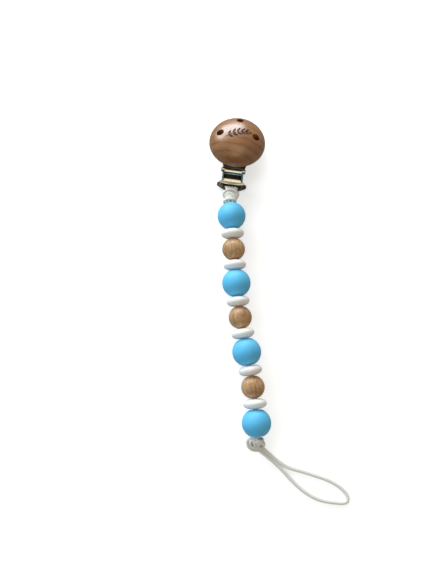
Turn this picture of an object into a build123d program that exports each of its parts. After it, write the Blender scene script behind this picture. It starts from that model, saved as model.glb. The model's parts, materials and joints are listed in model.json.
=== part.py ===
from build123d import *
import math
import os

# ---------------------------------------------------------------------------
# Beaded soother clip: a flip-lever metal clip with a turned beech cover, a
# strand of thirteen beads on a doubled braided cord, and a free cord loop.
# Millimetres. The clip's base plate lies on Z = 0, +Y runs towards the jaws.
# The origin is under the middle of the object's box, the free loop left out.
# ---------------------------------------------------------------------------

# clip position: the lever pin's middle, and how far the clip is turned about Z
clip_x = -2.812
clip_y = 59.351
clip_yaw = 8.0

# sheet metal
sheet = 0.7
ear_gap = 9.8
ear_sheet = 0.8
plate_half = 5.7
plate_tip_half = 6.5
plate_tip_y = 28.4
fold_y = -5.2
slope_deg = 23.7
frame_half = 8.1
slope_length = 5.46
slot_bar = 1.0

# lever and its pin
pin_z = 6.5
pin_r = 0.7
pin_head_r = 1.3
pin_reach = 6.6
cam_r = 2.40
cam_offset = 1.115
cam_dir = -110.0
lever_half = 4.7
thumb_half = 6.9
thumb_y = -7.0
lever_sheet = 0.8

# jaw plate and its pivot
pivot_y = -4.2
pivot_z = 1.7
pivot_r = 0.5
barrel_r = 0.9
jaw_tilt = 15.5
seat_y = 14.35
seat_z = 6.6
jaw_tip_y = 27.6

# turned wooden cover
cover_r = 15.2
cover_back_r = 12.8
cover_rise = 2.2
cover_crown = 9.6
vent_r = 1.9
vent_circle_r = 9.6
screw_x = 4.0

# beads: radius, half length, bore
axis_z = 7.5
blue_r = 7.5
blue_half = 6.8
wood_r = 6.05
wood_half = 5.65
disc_r = 6.0
disc_half = 2.65
disc_semi = 2.75
bore_r = 1.6
bead_gap = 0.28

# inner cord: two strands side by side
strand_d = 1.4
strand_pair = 2.85
core_gap = 0.3

# free loop
loop_d = 1.8

# strand: bead order from the clip, and the turn of each link from -Y towards +X
order = ["blue", "disc", "wood", "disc", "blue", "disc", "wood", "disc",
         "blue", "disc", "wood", "disc", "blue"]
turns = [3.19, 3.16, 3.56, 4.34, 4.82, 5.94, 8.05, 10.40, 11.62, 10.12, 7.35, 4.76, 3.45]
strand_x = -4.332
strand_y = 40.621

half_of = {"blue": blue_half, "disc": disc_half, "wood": wood_half}

os.makedirs("parts", exist_ok=True)


def save(part, label):
    part.label = label
    export_step(part, f"parts/{label}.step")


# ---------------------------------------------------------------------------
# planes of the clip: clip is the plan, side is the lengthwise section
# ---------------------------------------------------------------------------
cy, sy = math.cos(math.radians(clip_yaw)), math.sin(math.radians(clip_yaw))
clip = Plane(origin=(clip_x, clip_y, 0), x_dir=(cy, -sy, 0), z_dir=(0, 0, 1))
side = Plane(origin=clip.origin, x_dir=clip.y_dir, z_dir=clip.x_dir)


def in_clip(x, y, z):
    return clip.from_local_coords(Vector(x, y, z))


# slope of the slot frame, rising away from the jaws
sa, ca = math.sin(math.radians(slope_deg)), math.cos(math.radians(slope_deg))
slope = Plane(
    origin=in_clip(0, fold_y, 0),
    x_dir=clip.x_dir * -1,
    z_dir=clip.z_dir * ca + clip.y_dir * sa,
)
bar_run = slope_length - slot_bar / 2
bar_y = fold_y - bar_run * ca + (sheet / 2) * sa
bar_z = bar_run * sa + (sheet / 2) * ca

# seat of the wooden cover on the jaw plate
ta = math.tan(math.radians(jaw_tilt))
js, jc = math.sin(math.radians(jaw_tilt)), math.cos(math.radians(jaw_tilt))
seat = Plane(
    origin=in_clip(0, seat_y, seat_z),
    x_dir=clip.x_dir,
    z_dir=clip.z_dir * jc + clip.y_dir * js,
)


def seat_top(y):
    return seat_z - ta * (y - seat_y)


def seat_under(y):
    return seat_top(y) - sheet / jc


# ---------------------------------------------------------------------------
# base plate: flat back, two ears, sloped slot frame, turned-up tip
# ---------------------------------------------------------------------------
with BuildPart() as base_plate:
    with BuildSketch(clip) as floor_outline:
        with BuildLine():
            Polyline(
                (-plate_half, fold_y), (plate_half, fold_y), (plate_half, 2.6),
                (plate_tip_half, 5.4), (plate_tip_half, plate_tip_y),
                (-plate_tip_half, plate_tip_y), (-plate_tip_half, 5.4),
                (-plate_half, 2.6), close=True,
            )
        make_face()
        fillet(floor_outline.vertices().group_by(Axis.Y)[-1], 2.5)
    extrude(amount=sheet)
    # slot frame with the cord's bar at its far edge
    with BuildSketch(slope) as frame_outline:
        with BuildLine():
            Polyline(
                (-plate_half, 0), (plate_half, 0), (frame_half, 0.65), (frame_half, 2.75),
                (3.9, slope_length), (-3.9, slope_length), (-frame_half, 2.75),
                (-frame_half, 0.65), close=True,
            )
        make_face()
        fillet([v for v in frame_outline.vertices() if slope.to_local_coords(Vector(v.X, v.Y, v.Z)).Y > 0.5], 1.3)
        with BuildLine():
            Polyline(
                (-3.9, 2.7), (3.9, 2.7), (3.15, slope_length - slot_bar),
                (-3.15, slope_length - slot_bar), close=True,
            )
        make_face(mode=Mode.SUBTRACT)
    extrude(amount=sheet)
    # ears
    for start in (ear_gap / 2, -ear_gap / 2 - ear_sheet):
        with BuildSketch(side.offset(start)):
            with BuildLine():
                CenterArc((0, pin_z), 2.0, 0, 360)
                CenterArc((pivot_y, pivot_z), 1.5, 0, 360)
                Polyline((fold_y + 0.1, 0), (2.6, 0), (2.6, sheet), (fold_y + 0.1, sheet), close=True)
            make_hull()
        extrude(amount=ear_sheet)
    # turned-up tip that stops the insert
    with BuildSketch(clip.offset(sheet)):
        with Locations((0, plate_tip_y - sheet / 2)):
            Rectangle(7.6, sheet)
    extrude(amount=1.1)
    # pin holes through both ears
    with BuildSketch(side):
        with Locations((0, pin_z)):
            Circle(pin_r + 0.02)
        with Locations((pivot_y, pivot_z)):
            Circle(pivot_r + 0.02)
    extrude(amount=10, both=True, mode=Mode.SUBTRACT)
    # holes for the insert's pegs and the spring's rivet
    with BuildSketch(clip):
        with Locations((-3.6, 22.4), (3.6, 22.4)):
            Circle(1.05)
        with Locations((0, 3.6)):
            Circle(0.62)
    extrude(amount=sheet, mode=Mode.SUBTRACT)
save(base_plate.part, "base_plate")

# ---------------------------------------------------------------------------
# lever pin with peened heads, and the jaw's pivot pin
# ---------------------------------------------------------------------------
ear_out = ear_gap / 2 + ear_sheet
with BuildPart() as lever_pin:
    with BuildSketch(Plane(origin=in_clip(0, 0, pin_z), x_dir=clip.x_dir, z_dir=clip.y_dir * -1)) as pin_half:
        with BuildLine():
            Polyline(
                (-pin_reach, 0), (-pin_reach, pin_head_r), (-ear_out - 0.02, pin_head_r),
                (-ear_out - 0.02, pin_r), (ear_out + 0.02, pin_r),
                (ear_out + 0.02, pin_head_r), (pin_reach, pin_head_r), (pin_reach, 0), close=True,
            )
        make_face()
    revolve(axis=Axis(in_clip(0, 0, pin_z), clip.x_dir))
    fillet(
        [e for e in lever_pin.edges().filter_by(GeomType.CIRCLE)
         if abs(abs(clip.to_local_coords(e.arc_center).X) - pin_reach) < 0.01],
        0.45,
    )
save(lever_pin.part, "lever_pin")

with BuildPart() as jaw_pin:
    with BuildSketch(side):
        with Locations((pivot_y, pivot_z)):
            Circle(pivot_r)
    extrude(amount=ear_out + 0.25, both=True)
    chamfer(jaw_pin.edges().filter_by(GeomType.CIRCLE), 0.15)
save(jaw_pin.part, "jaw_pin")

# ---------------------------------------------------------------------------
# lever: cam barrel round the pin, steep neck, dished thumb plate
# ---------------------------------------------------------------------------
cam_y = cam_offset * math.cos(math.radians(cam_dir))
cam_z = pin_z + cam_offset * math.sin(math.radians(cam_dir))
with BuildPart() as lever:
    with BuildSketch(side):
        with Locations((cam_y, cam_z)):
            Circle(cam_r)
        with BuildLine():
            Spline((-2.45, 6.70), (-2.90, 5.35), (-3.60, 4.42), (-5.10, 3.92), (-7.05, 3.86))
            Line((-7.05, 3.86), (-7.15, 3.08))
            Spline((-7.15, 3.08), (-5.30, 3.12), (-4.10, 3.38), (-2.80, 4.15), (-1.55, 5.20))
            Line((-1.55, 5.20), (-2.45, 6.70))
        make_face()
    extrude(amount=thumb_half + 0.6, both=True)
    # plan outline: narrow between the ears, flared at the thumb
    with BuildSketch(clip) as thumb_plan:
        with BuildLine():
            l1 = Polyline(
                (-lever_half, 3.0), (-lever_half, -4.95), (-thumb_half, -5.75), (-thumb_half, -6.35),
            )
            l2 = ThreePointArc((-thumb_half, -6.35), (0, thumb_y - 0.05), (thumb_half, -6.35))
            l3 = Polyline((thumb_half, -6.35), (thumb_half, -5.75), (lever_half, -4.95), (lever_half, 3.0), (-lever_half, 3.0))
        make_face()
        fillet([v for v in thumb_plan.vertices() if clip.to_local_coords(Vector(v.X, v.Y, v.Z)).Y < -5.0], 0.3)
    extrude(amount=14, mode=Mode.INTERSECT)
    # hollow between the two cam cheeks
    with BuildSketch(side):
        with Locations((cam_y, cam_z)):
            Circle(cam_r - lever_sheet)
        with BuildLine():
            Polyline((-1.95, 2.4), (2.6, 2.4), (2.6, cam_z), (-1.95, cam_z), close=True)
        make_face()
    extrude(amount=lever_half - ear_sheet, both=True, mode=Mode.SUBTRACT)
    # pin bore
    with BuildSketch(side):
        with Locations((0, pin_z)):
            Circle(pin_r + 0.05)
    extrude(amount=10, both=True, mode=Mode.SUBTRACT)
save(lever.part, "lever")

# ---------------------------------------------------------------------------
# jaw plate: barrel on the pivot, flat under the cam, shoulder, seat, lip
# ---------------------------------------------------------------------------
with BuildPart() as jaw_plate:
    with BuildSketch(side) as jaw_section:
        with Locations((pivot_y, pivot_z)):
            Circle(barrel_r)
        with BuildLine():
            Polyline(
                (pivot_y, 2.2), (5.9, 2.2), (6.5, seat_under(6.5)), (26.9, seat_under(26.9)),
                (26.9, 2.08), (jaw_tip_y, 2.08), (jaw_tip_y, seat_top(jaw_tip_y)),
                (5.75, seat_top(5.75)), (5.2, 2.9), (pivot_y, 2.9), close=True,
            )
        make_face()
    extrude(amount=8, both=True)
    # stiffening flanges along the seat, hollow between them
    with BuildSketch(side):
        with BuildLine():
            Polyline(
                (8.0, seat_top(8.0) - 0.3), (8.0, seat_under(8.0) - 2.0), (23.5, seat_under(23.5) - 0.6),
                (24.6, seat_top(24.6) - 0.3), close=True,
            )
        make_face()
    extrude(amount=6.8, both=True)
    with BuildSketch(side):
        with BuildLine():
            Polyline(
                (7.5, seat_under(7.5)), (7.5, 3.5), (26.0, 0.5), (26.0, seat_under(26.0)), close=True,
            )
        make_face()
    extrude(amount=6.1, both=True, mode=Mode.SUBTRACT)
    # plan outline: narrow between the ears, wide under the cover
    with BuildSketch(clip) as jaw_plan:
        with BuildLine():
            Polyline(
                (-4.6, -5.5), (4.6, -5.5), (4.6, 3.4), (6.8, 7.6), (6.8, jaw_tip_y),
                (-6.8, jaw_tip_y), (-6.8, 7.6), (-4.6, 3.4), close=True,
            )
        make_face()
        fillet(jaw_plan.vertices().group_by(Axis.Y)[-1], 1.6)
    extrude(amount=14, mode=Mode.INTERSECT)
    # pivot bore, screw holes and the vent's clearance hole
    with BuildSketch(side):
        with Locations((pivot_y, pivot_z)):
            Circle(pivot_r + 0.05)
    extrude(amount=10, both=True, mode=Mode.SUBTRACT)
    with BuildSketch(seat):
        with Locations((-screw_x, 0), (screw_x, 0)):
            Circle(1.0)
        with Locations((0, vent_circle_r)):
            Circle(2.2)
    extrude(amount=2, both=True, mode=Mode.SUBTRACT)
save(jaw_plate.part, "jaw_plate")

# ---------------------------------------------------------------------------
# spring that opens the jaws, and its rivet
# ---------------------------------------------------------------------------
with BuildPart() as leaf_spring:
    with BuildSketch(side) as leaf:
        with BuildLine():
            Polyline(
                (4.9, sheet), (4.9, sheet + 0.3), (2.3, sheet + 0.3), (-2.2, 2.05),
                (-2.9, 1.95), (-2.9, 1.65), (-2.2, 1.75), (2.2, sheet), close=True,
            )
        make_face()
    extrude(amount=2.6, both=True)
    with BuildSketch(clip.offset(sheet)):
        with Locations((0, 3.6)):
            Circle(0.62)
    extrude(amount=1, mode=Mode.SUBTRACT)
save(leaf_spring.part, "leaf_spring")

with BuildPart() as spring_rivet:
    with BuildSketch(clip.offset(0.05)):
        with Locations((0, 3.6)):
            Circle(0.6)
    extrude(amount=sheet + 0.25)
    with BuildSketch(clip.offset(sheet + 0.3)):
        with Locations((0, 3.6)):
            Circle(1.1)
    extrude(amount=0.45)
save(spring_rivet.part, "spring_rivet")

# ---------------------------------------------------------------------------
# toothed plastic insert on the base plate's tip
# ---------------------------------------------------------------------------
with BuildPart() as jaw_insert:
    with BuildSketch(clip.offset(sheet)):
        with Locations((0, (18.2 + 27.6) / 2)):
            RectangleRounded(11.6, 27.6 - 18.2, 1.2)
    extrude(amount=0.55)
    with BuildSketch(side):
        for k in range(6):
            y0 = 19.0 + 1.35 * k
            with BuildLine():
                Polyline((y0, 1.2), (y0 + 1.25, 1.2), (y0 + 1.25, 1.3), (y0 + 0.75, 1.88), (y0 + 0.5, 1.88), (y0, 1.3), close=True)
            make_face()
    extrude(amount=5.0, both=True)
    with BuildSketch(clip.offset(0.08)):
        with Locations((-3.6, 22.4), (3.6, 22.4)):
            Circle(1.0)
    extrude(amount=sheet)
save(jaw_insert.part, "jaw_insert")

# ---------------------------------------------------------------------------
# turned beech cover with three vent holes, screwed to the jaw plate
# ---------------------------------------------------------------------------
with BuildPart() as wood_cover:
    with BuildSketch(Plane(origin=seat.origin, x_dir=seat.x_dir, z_dir=seat.y_dir * -1)):
        with BuildLine():
            Line((0, 0), (cover_back_r, 0))
            Spline(
                (cover_back_r, 0),
                (cover_back_r + 0.707 * (cover_r - cover_back_r), 0.293 * cover_rise),
                (cover_r, cover_rise), tangents=((1, 0), (0, 1)),
            )
            Spline(
                *[(cover_r * math.cos(math.radians(t)), cover_rise + cover_crown * math.sin(math.radians(t)))
                  for t in range(0, 91, 10)],
                tangents=((0, 1), (-1, 0)),
            )
            Line((0, cover_rise + cover_crown), (0, 0))
        make_face()
    revolve(axis=Axis(seat.origin, seat.z_dir))
    with BuildSketch(seat):
        with Locations((-vent_circle_r, 0), (vent_circle_r, 0), (0, vent_circle_r)):
            Circle(vent_r)
    extrude(amount=14, mode=Mode.SUBTRACT)
    with BuildSketch(seat):
        with Locations((-screw_x, 0), (screw_x, 0)):
            Circle(0.82)
    extrude(amount=4.6, mode=Mode.SUBTRACT)
save(wood_cover.part, "wood_cover")

with BuildPart() as cover_screws:
    with BuildSketch(seat.offset(-sheet)):
        with Locations((-screw_x, 0), (screw_x, 0)):
            Circle(0.8)
    extrude(amount=4.9)
    with BuildSketch(seat.offset(-sheet - 0.7)):
        with Locations((-screw_x, 0), (screw_x, 0)):
            Circle(1.5)
    extrude(amount=0.7)
    with BuildSketch(seat.offset(-sheet - 0.7)):
        with Locations((-screw_x, 0), (screw_x, 0)):
            Rectangle(2.2, 0.4)
            Rectangle(0.4, 2.2)
    extrude(amount=0.35, mode=Mode.SUBTRACT)
save(cover_screws.part, "cover_screws")

# ---------------------------------------------------------------------------
# strand: pivots between the beads, then each bead and its length of cord
# ---------------------------------------------------------------------------
pivots = [Vector(strand_x, strand_y, axis_z)]
heads = []
for kind, turn in zip(order, turns):
    a = math.radians(turn)
    heading = Vector(math.sin(a), -math.cos(a), 0)
    heads.append(heading)
    pivots.append(pivots[-1] + heading * (2 * half_of[kind] + bead_gap))

names = {"blue": "blue_bead", "disc": "white_disc", "wood": "wood_bead"}
count = {"blue": 0, "disc": 0, "wood": 0}
for i, (kind, heading) in enumerate(zip(order, heads)):
    middle = (pivots[i] + pivots[i + 1]) * 0.5
    # section plane: x along the strand, y up
    section = Plane(origin=middle, x_dir=heading, z_dir=heading.cross(Vector(0, 0, 1)))
    with BuildPart() as bead:
        with BuildSketch(section) as half_bead:
            if kind == "disc":
                s = disc_semi * math.sqrt(1 - (bore_r / disc_r) ** 2)
                a = math.acos(s / disc_semi)
                steps = [a + (math.pi - 2 * a) * k / 16 for k in range(17)]
                with BuildLine():
                    Spline(*[(disc_semi * math.cos(t), disc_r * math.sin(t)) for t in steps])
                    Line((-s, bore_r), (s, bore_r))
                make_face()
                fillet(half_bead.vertices(), 0.35)
            else:
                r, h = (blue_r, blue_half) if kind == "blue" else (wood_r, wood_half)
                mouth, rim = (0.5, 0.9) if kind == "blue" else (0.35, 0.35)
                f = math.sqrt(r * r - h * h)
                with BuildLine():
                    ThreePointArc((-h, f), (0, r), (h, f))
                    Polyline((h, f), (h, bore_r), (-h, bore_r), (-h, f))
                make_face()
                flat = [(v, abs((Vector(v.X, v.Y, v.Z) - middle).Z - bore_r) < 0.01) for v in half_bead.vertices()]
                fillet([v for v, inner in flat if inner], mouth)
                outer = [v for v in half_bead.vertices() if abs((Vector(v.X, v.Y, v.Z) - middle).Z - f) < 0.01]
                fillet(outer, rim)
        revolve(axis=Axis(middle, heading))
    count[kind] += 1
    save(bead.part, f"{names[kind]}_{count[kind]}")

    # the doubled cord through this bead, a short gap at each link's end
    across = heading.cross(Vector(0, 0, 1))
    start = pivots[i] + heading * (core_gap / 2)
    run = (pivots[i + 1] - pivots[i]).length - core_gap
    with BuildPart() as core:
        with BuildSketch(Plane(origin=start, x_dir=across, z_dir=heading)):
            SlotOverall(strand_pair, strand_d)
        extrude(amount=run)
    save(core.part, f"cord_core_{i + 1:02d}")

# ---------------------------------------------------------------------------
# top hitch: wraps round the slot bar, tapers to the first bead
# ---------------------------------------------------------------------------
bar_at = in_clip(0, bar_y, bar_z)
top = pivots[0]
rise = (top - bar_at).normalized()
tilt = Plane(origin=bar_at, x_dir=clip.x_dir, z_dir=rise)
with BuildPart() as top_hitch:
    with BuildSketch(Plane(origin=bar_at, x_dir=clip.y_dir, z_dir=clip.x_dir)):
        Circle(2.12)
        Circle(0.80, mode=Mode.SUBTRACT)
    extrude(amount=2.9, both=True)
    with BuildSketch(tilt.offset(1.15)):
        RectangleRounded(5.8, 3.0, 1.2)
    with BuildSketch(tilt.offset(4.6)):
        RectangleRounded(6.9, 4.4, 1.9)
    with BuildSketch(Plane(origin=top + heads[0] * -0.12, x_dir=heads[0].cross(Vector(0, 0, 1)) * -1, z_dir=heads[0])):
        RectangleRounded(5.2, 3.6, 1.6)
    loft()
save(top_hitch.part, "top_hitch")

# ---------------------------------------------------------------------------
# end knot below the last bead
# ---------------------------------------------------------------------------
end = pivots[-1]
knot_x = end.X - 1.75
knot_y = end.Y - 3.65
with BuildPart() as end_knot:
    with BuildSketch(Plane(origin=(knot_x, knot_y, 1.0), z_dir=(0, 0, 1))):
        Ellipse(3.9, 3.35)
    extrude(amount=7.6)
    fillet(end_knot.edges(), 2.6)
save(end_knot.part, "end_knot")

# ---------------------------------------------------------------------------
# free loop: one cord, both ends in the knot, lying on the floor
# ---------------------------------------------------------------------------
zf = loop_d / 2
route = [
    (11.52, -87.87, 2.6),
    (13.82, -89.97, 1.25),
    (17.32, -92.97, zf),
    (20.82, -95.87, zf),
    (25.42, -98.27, zf),
    (31.42, -99.77, zf),
    (38.12, -101.77, zf),
    (45.12, -104.07, zf),
    (50.52, -107.07, zf),
    (53.42, -109.57, zf),
    (55.12, -112.17, zf),
    (54.96, -114.52, zf),
    (52.92, -115.67, zf),
    (49.32, -115.42, zf),
    (44.92, -114.97, zf),
    (40.42, -113.97, zf),
    (35.92, -111.97, zf),
    (30.52, -108.17, zf),
    (25.82, -103.57, zf),
    (22.02, -99.27, zf),
    (18.52, -95.97, zf),
    (15.02, -93.07, zf),
    (12.02, -90.67, 1.25),
    (9.82, -89.07, 2.6),
]
points = [Vector(*p) for p in route]
radii = []
for a, b, c in zip(points, points[1:], points[2:]):
    turn = math.radians((b - a).get_angle(c - b))
    radii.append(0.45 * min((b - a).length, (c - b).length) / math.tan(turn / 2))
with BuildPart() as loop_cord:
    with BuildLine() as loop_path:
        FilletPolyline(*points, radius=radii)
    with BuildSketch(Plane(origin=points[0], z_dir=(points[1] - points[0]).normalized())):
        Circle(loop_d / 2)
    sweep()
save(loop_cord.part, "loop_cord")

if __name__ == "__main__":
    length = loop_path.wire().length
    print("loop radii", [round(r, 1) for r in radii])
    print("loop length", round(length, 1), "volume ratio",
          round(loop_cord.part.volume / (math.pi * (loop_d / 2) ** 2 * length), 4))
    print("bar at", tuple(round(v, 3) for v in bar_at), "hitch length", round((top - bar_at).length, 2))
    print("pivots", [tuple(round(v, 3) for v in p) for p in pivots])
    print("seat", tuple(round(v, 3) for v in seat.origin), tuple(round(v, 4) for v in seat.z_dir))
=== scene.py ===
import bpy
import bmesh
import json
import math
import random
import numpy as np
from mathutils import Matrix, Vector


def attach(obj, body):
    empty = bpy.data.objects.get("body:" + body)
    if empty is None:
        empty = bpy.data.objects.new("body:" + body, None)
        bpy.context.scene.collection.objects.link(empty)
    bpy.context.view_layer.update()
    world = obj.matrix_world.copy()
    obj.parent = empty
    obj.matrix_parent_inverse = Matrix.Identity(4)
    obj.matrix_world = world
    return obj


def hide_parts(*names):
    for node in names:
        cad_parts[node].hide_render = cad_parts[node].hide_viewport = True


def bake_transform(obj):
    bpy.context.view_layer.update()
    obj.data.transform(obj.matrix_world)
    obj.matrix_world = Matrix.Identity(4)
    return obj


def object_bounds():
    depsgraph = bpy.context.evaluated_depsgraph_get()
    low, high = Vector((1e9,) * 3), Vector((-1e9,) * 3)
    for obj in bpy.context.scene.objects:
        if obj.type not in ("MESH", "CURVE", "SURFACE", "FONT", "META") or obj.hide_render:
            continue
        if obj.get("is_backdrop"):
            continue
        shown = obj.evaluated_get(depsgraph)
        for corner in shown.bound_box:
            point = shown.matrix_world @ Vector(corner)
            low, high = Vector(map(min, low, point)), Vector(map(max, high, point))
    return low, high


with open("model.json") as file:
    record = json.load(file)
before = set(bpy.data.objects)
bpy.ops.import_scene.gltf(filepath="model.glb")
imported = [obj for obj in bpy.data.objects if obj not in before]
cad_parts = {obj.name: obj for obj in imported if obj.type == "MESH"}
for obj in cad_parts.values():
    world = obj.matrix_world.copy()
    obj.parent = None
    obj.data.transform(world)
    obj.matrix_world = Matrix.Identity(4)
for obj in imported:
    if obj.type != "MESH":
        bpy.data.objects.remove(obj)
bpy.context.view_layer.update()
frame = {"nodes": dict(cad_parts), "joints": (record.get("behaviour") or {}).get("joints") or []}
nodes = frame["nodes"]
joints = {j["name"]: j for j in frame["joints"]}
MM = 0.001
scene = bpy.context.scene
random.seed(4)

# ---------------------------------------------------------------------------
# places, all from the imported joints: clip axes, bead middles and headings
# ---------------------------------------------------------------------------
PIN = Vector(joints["lever_flip"]["pos_m"])
CX = -Vector(joints["lever_flip"]["axis"]).normalized()
CZ = Vector((0, 0, 1))
CY = CZ.cross(CX)
CLIP = Vector((PIN.x, PIN.y, 0))
BAR = Vector(joints["strand_swing"]["pos_m"])
ORDER = ["blue", "disc", "wood", "disc", "blue", "disc", "wood", "disc",
         "blue", "disc", "wood", "disc", "blue"]
MID = [Vector(joints[f"bead_spin_{i:02d}"]["pos_m"]) for i in range(1, 14)]
HEAD = [Vector(joints[f"bead_spin_{i:02d}"]["axis"]).normalized() for i in range(1, 14)]
BEND = {}
for n, j in joints.items():
    if "_bend_" in n:
        BEND[int(n[-2:])] = Vector(j["pos_m"])
HALF = {"blue": 6.8 * MM, "disc": 2.65 * MM, "wood": 5.65 * MM}
GAP = 0.28 * MM
TOP = MID[0] - HEAD[0] * (HALF["blue"] + GAP / 2)
END = MID[12] + HEAD[12] * (HALF["blue"] + GAP / 2)
TILT = math.radians(15.5)
SEAT = CLIP + CY * 14.35 * MM + CZ * 6.6 * MM
SX = CX.copy()
SZ = (CZ * math.cos(TILT) + CY * math.sin(TILT)).normalized()
SY = SZ.cross(SX)


def basis(o, x, y, z):
    return Matrix(((x.x, y.x, z.x, o.x), (x.y, y.y, z.y, o.y), (x.z, y.z, z.z, o.z), (0, 0, 0, 1)))


SEAT_M = basis(SEAT, SX, SY, SZ)
CLIP_M = basis(CLIP, CX, CY, CZ)

# ---------------------------------------------------------------------------
# camera: from above, leaning a little towards the loop end
# ---------------------------------------------------------------------------
cam_data = bpy.data.cameras.new("view_camera")
cam = bpy.data.objects.new("view_camera", cam_data)
scene.collection.objects.link(cam)
lean = math.radians(9.5)
target = Vector((-11.982, -4.469, 0)) * MM
cam.location = target + Vector((0, -math.sin(lean), math.cos(lean))) * 0.376
cam.rotation_euler = (lean, 0, 0)
cam_data.sensor_width = 36
cam_data.lens = 700 / 577 * 36
cam_data.clip_start = 0.01
cam_data.clip_end = 20
scene.camera = cam


# ---------------------------------------------------------------------------
# mesh helpers
# ---------------------------------------------------------------------------
def add(name, mesh):
    ob = bpy.data.objects.new(name, mesh)
    scene.collection.objects.link(ob)
    return ob


def from_arrays(name, verts, faces):
    me = bpy.data.meshes.new(name)
    me.from_pydata([tuple(v) for v in verts], [], faces)
    me.update()
    return me


def smooth(me, angle=None):
    me.polygons.foreach_set("use_smooth", np.ones(len(me.polygons), bool))
    if angle is not None:
        me.set_sharp_from_angle(angle=math.radians(angle))
    me.update()


def resample(pts, step):
    """Points evenly spaced along a polyline."""
    p = np.array([tuple(q) for q in pts], float)
    seg = np.linalg.norm(np.diff(p, axis=0), axis=1)
    s = np.r_[0, np.cumsum(seg)]
    n = max(2, int(round(s[-1] / step)) + 1)
    t = np.linspace(0, s[-1], n)
    return np.c_[np.interp(t, s, p[:, 0]), np.interp(t, s, p[:, 1]), np.interp(t, s, p[:, 2])]


def spline(pts, closed=False, per=24):
    """A smooth line through the points (centripetal Catmull-Rom)."""
    p = [Vector(q) for q in pts]
    n = len(p)
    out = []
    rng = range(n) if closed else range(n - 1)
    for i in rng:
        if closed:
            a, b, c, d = p[(i - 1) % n], p[i], p[(i + 1) % n], p[(i + 2) % n]
        else:
            b, c = p[i], p[i + 1]
            a = p[i - 1] if i else b * 2 - c
            d = p[i + 2] if i + 2 < n else c * 2 - b
        t0 = 0.0
        t1 = t0 + max((b - a).length, 1e-9) ** 0.5
        t2 = t1 + max((c - b).length, 1e-9) ** 0.5
        t3 = t2 + max((d - c).length, 1e-9) ** 0.5
        for k in range(per):
            t = t1 + (t2 - t1) * k / per
            a1 = a * ((t1 - t) / (t1 - t0)) + b * ((t - t0) / (t1 - t0))
            a2 = b * ((t2 - t) / (t2 - t1)) + c * ((t - t1) / (t2 - t1))
            a3 = c * ((t3 - t) / (t3 - t2)) + d * ((t - t2) / (t3 - t2))
            b1 = a1 * ((t2 - t) / (t2 - t0)) + a2 * ((t - t0) / (t2 - t0))
            b2 = a2 * ((t3 - t) / (t3 - t1)) + a3 * ((t - t1) / (t3 - t1))
            out.append(b1 * ((t2 - t) / (t2 - t1)) + b2 * ((t - t1) / (t2 - t1)))
    if not closed:
        out.append(p[-1])
    return out


def braid_arrays(pts, d, sides=28, step=0.11, carriers=4, pitch=1.45, amp=0.12, phase=0.0, taper=None, squash=None):
    """A braided cord along pts: over-and-under yarns as real relief. Metres."""
    p = resample(pts, step * MM)
    n = len(p)
    tan = np.gradient(p, axis=0)
    tan /= np.linalg.norm(tan, axis=1)[:, None]
    ref = np.array([0, 0, 1.0])
    if abs(tan[0] @ ref) > 0.9:
        ref = np.array([1.0, 0, 0])
    nor = np.zeros_like(p)
    v = ref - tan[0] * (ref @ tan[0])
    nor[0] = v / np.linalg.norm(v)
    for i in range(1, n):
        v = nor[i - 1] - tan[i] * (nor[i - 1] @ tan[i])
        nor[i] = v / np.linalg.norm(v)
    bi = np.cross(tan, nor)
    s = np.arange(n) * np.linalg.norm(np.diff(p, axis=0), axis=1).mean() / MM
    th = np.linspace(0, 2 * np.pi, sides, endpoint=False)
    S, T = np.meshgrid(s, th, indexing="ij")
    u = carriers * T / (2 * np.pi) + S / pitch + phase
    w = carriers * T / (2 * np.pi) - S / pitch - phase
    fu, fw = u - np.floor(u), w - np.floor(w)
    over = ((np.floor(u) + np.floor(w)) % 2) == 0
    a, b = np.sin(np.pi * fu), np.sin(np.pi * fw)
    h = np.where(over, a ** 0.6 * (0.45 + 0.55 * b), b ** 0.6 * (0.45 + 0.55 * a))
    r = d / MM / 2 - amp + amp * h * 1.15
    if taper is not None:
        r = r * np.interp(S, [0, taper, s[-1] - taper, s[-1]], [0.55, 1, 1, 0.55])
    r = r * MM
    sx, sz = (1, 1) if squash is None else squash
    P = p[:, None, :] + (r * np.cos(T) * sx)[..., None] * nor[:, None, :] + (r * np.sin(T) * sz)[..., None] * bi[:, None, :]
    verts = P.reshape(-1, 3)
    idx = np.arange(n * sides).reshape(n, sides)
    A, B = idx[:-1], idx[1:]
    q = np.stack([A, np.roll(A, -1, 1), np.roll(B, -1, 1), B], -1).reshape(-1, 4)
    faces = q.tolist()
    c0, c1 = len(verts), len(verts) + 1
    verts = np.vstack([verts, p[0] - tan[0] * r.mean() * 0.35, p[-1] + tan[-1] * r.mean() * 0.35])
    for k in range(sides):
        faces.append([c0, int(idx[0, (k + 1) % sides]), int(idx[0, k])])
        faces.append([c1, int(idx[-1, k]), int(idx[-1, (k + 1) % sides])])
    weave = np.r_[h.ravel(), 0.5, 0.5]
    return verts, faces, weave


def braid_object(name, strands, mat, **kw):
    """One mesh of several braided strands; each strand is (points, diameter)."""
    V, F, W = [], [], []
    off = 0
    for k, (pts, d) in enumerate(strands):
        v, f, w = braid_arrays(pts, d, phase=0.37 * k, **kw)
        V.append(v)
        F += [[i + off for i in q] for q in f]
        W.append(w)
        off += len(v)
    me = from_arrays(name, np.vstack(V), F)
    # relief height per vertex; the cord material paints shade into the braid's low places from it
    at = me.attributes.new("weave", "FLOAT", "POINT")
    at.data.foreach_set("value", np.concatenate(W).astype(np.float32))
    smooth(me)
    fix_normals(me)
    me.materials.append(mat)
    return add(name, me)


def fix_normals(me):
    bm = bmesh.new()
    bm.from_mesh(me)
    bmesh.ops.recalc_face_normals(bm, faces=bm.faces)
    bm.to_mesh(me)
    bm.free()
    me.update()


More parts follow.
